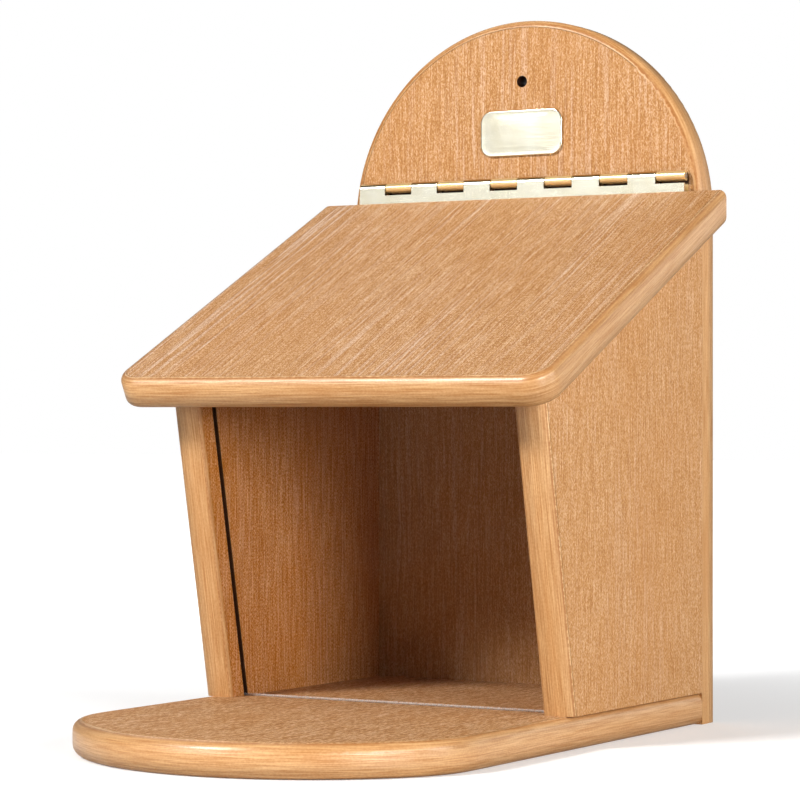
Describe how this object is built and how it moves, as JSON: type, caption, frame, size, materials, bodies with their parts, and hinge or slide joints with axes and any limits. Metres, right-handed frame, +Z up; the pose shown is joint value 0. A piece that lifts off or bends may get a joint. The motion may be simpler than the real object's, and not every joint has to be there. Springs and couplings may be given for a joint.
{
  "type": "squirrel feeder box",
  "caption": "Squirrel feeder box with an arched back board to hang it by, a round-nosed tray, a clear front window and a sloping roof that lifts on a continuous hinge.",
  "frame": {"origin": "bottom centre of the box's extent, on the surface that the tray stands on", "axes": "+Z up; +Y to the rear, out of the back board; +X to the right as seen from the front"},
  "size_m": [0.1896, 0.2606, 0.2875],
  "materials": {
    "board": "tan recycled plastic lumber, wood grain embossed on its faces",
    "clear_sheet": "clear acrylic sheet with polished faces",
    "brass": "brass plated, satin",
    "pin_steel": "plated steel wire",
    "screw_steel": "stainless",
    "adhesive": "adhesive film"
  },
  "bodies": {
    "box": {"back_board": "board", "left_side_panel": "board", "right_side_panel": "board", "floor_tray": "board", "front_window": "clear_sheet", "hinge_leaf_back": "brass", "hinge_pin": "pin_steel", "hinge_screws_back": "brass", "rear_screws_left": "screw_steel", "rear_screws_right": "screw_steel", "foot_screws_left": "screw_steel", "foot_screws_right": "screw_steel", "floor_screws": "screw_steel", "badge_pad": "adhesive", "badge_plate": "brass"},
    "roof": {"roof_lid": "board", "hinge_leaf_roof": "brass", "hinge_screws_roof": "brass"}
  },
  "joints": [
    {"name": "roof_hinge", "type": "hinge", "parent": "box", "child": "roof", "pos_m": [0, 0.11538, 0.2201], "axis": [-1, 0, 0], "range_deg": [0, 118]}
  ]
}
